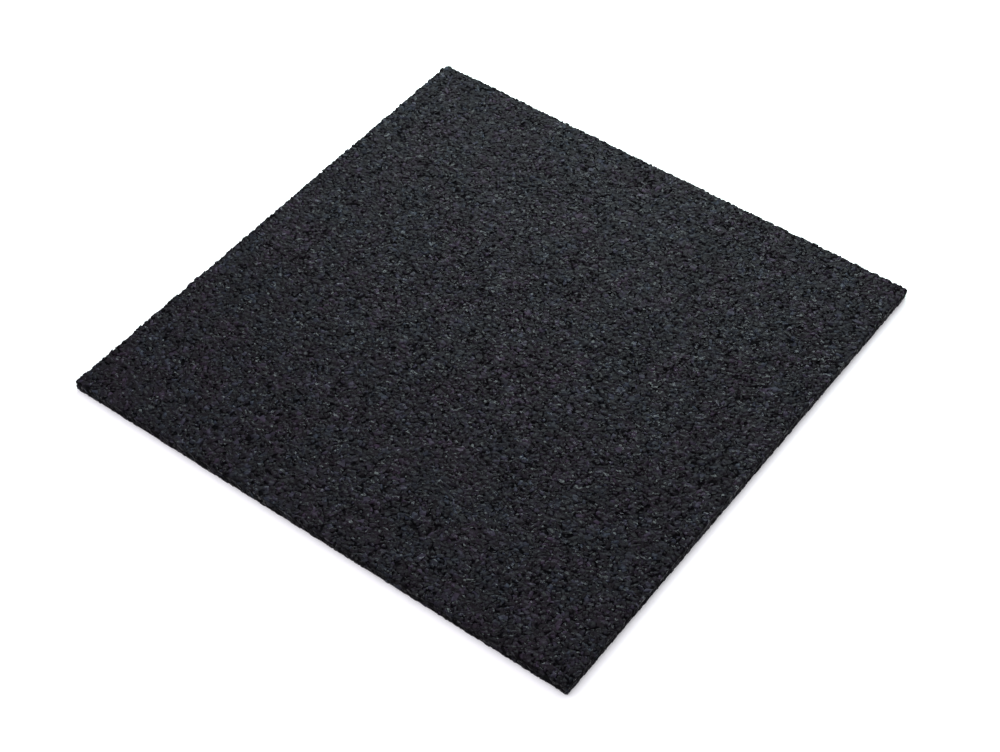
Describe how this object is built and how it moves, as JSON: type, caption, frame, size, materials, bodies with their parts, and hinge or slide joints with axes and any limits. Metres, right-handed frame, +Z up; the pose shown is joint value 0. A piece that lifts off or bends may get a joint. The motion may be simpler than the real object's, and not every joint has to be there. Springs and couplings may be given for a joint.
{
  "type": "anti-vibration pad",
  "caption": "Square, thin, flat pad of black bonded rubber granulate, laid under a machine or a foot to damp vibration.",
  "frame": {"origin": "middle of the underside, on the surface that the pad lies on", "axes": "+Z up through the thickness; the four sides run along X and Y"},
  "size_m": [0.5, 0.5, 0.01],
  "materials": {
    "bonded_rubber": "matt, open granular surface of pressed crumbs"
  },
  "bodies": {
    "root": {"granulate_slab": "bonded_rubber"}
  },
  "joints": []
}
